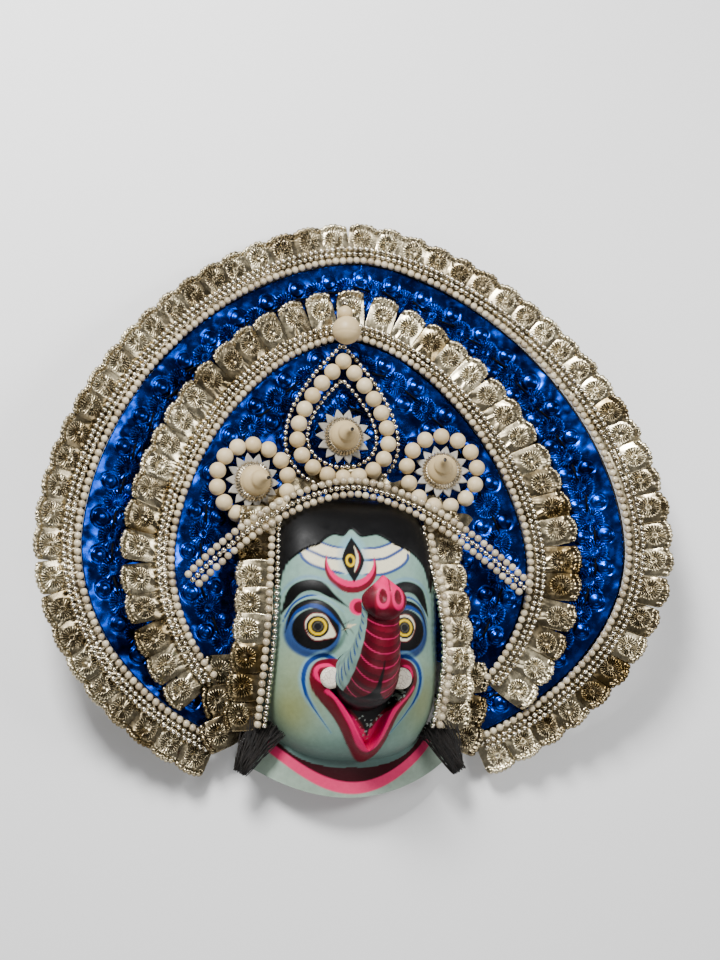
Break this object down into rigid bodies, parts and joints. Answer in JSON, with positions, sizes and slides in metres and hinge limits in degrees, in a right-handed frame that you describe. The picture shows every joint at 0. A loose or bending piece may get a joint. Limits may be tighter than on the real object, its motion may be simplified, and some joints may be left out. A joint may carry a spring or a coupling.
{
  "type": "chhau mask",
  "caption": "Elephant-headed Chhau dance mask with a raised trunk, in a heart-shaped halo of scalloped foil bands, bead rows, beaded rings and turned finials.",
  "frame": {"origin": "middle of the plan's bounding box, on the plane of the back rim, on which the mask lies", "axes": "+X to the viewer's right across the halo, +Y from the neck up to the crown, +Z out of the face towards the viewer"},
  "size_m": [0.6142, 0.5718, 0.1755],
  "materials": {
    "skin": "gloss enamel painted over papier-mache, with painted hair, eyes, lips and trunk",
    "wire": "blackened soft iron wire",
    "gold_foil": "bright champagne-gold embossed foil, a little tarnished",
    "blue_foil": "bright metallic blue embossed foil",
    "pearl": "pinkish off-white imitation pearl",
    "silver_bead": "metallised plastic bead",
    "ivory_bead": "matt ivory",
    "star_disc": "cloudy white sheet",
    "jute_hair": "dyed black jute fibre"
  },
  "bodies": {
    "root": {"face_mask": "skin", "outer_hoop": "wire", "middle_hoop": "wire", "inner_hoop": "wire", "spoke_1": "wire", "spoke_2": "wire", "spoke_3": "wire", "spoke_4": "wire", "spoke_5": "wire", "spoke_6": "wire", "spoke_7": "wire", "outer_gold_band": "gold_foil", "inner_gold_band": "gold_foil", "side_foil_left": "gold_foil", "side_foil_right": "gold_foil", "blue_outer_band": "blue_foil", "blue_inner_field": "blue_foil", "outer_pearl_row": "pearl", "inner_pearl_row": "pearl", "brow_outer_pearls": "pearl", "brow_inner_pearls": "pearl", "side_pearls_left": "pearl", "side_pearls_right": "pearl", "outer_silver_row": "silver_bead", "inner_silver_row": "silver_bead", "brow_silver": "silver_bead", "side_silver_left": "silver_bead", "side_silver_right": "silver_bead", "drop_outer_chain": "silver_bead", "drop_inner_chain": "silver_bead", "drop_balls": "ivory_bead", "ring_balls_left": "ivory_bead", "ring_balls_right": "ivory_bead", "crest_beads": "ivory_bead", "finial_left": "ivory_bead", "finial_centre": "ivory_bead", "finial_right": "ivory_bead", "star_left": "star_disc", "star_centre": "star_disc", "star_right": "star_disc", "tuft_left": "jute_hair", "tuft_right": "jute_hair"}
  },
  "joints": []
}
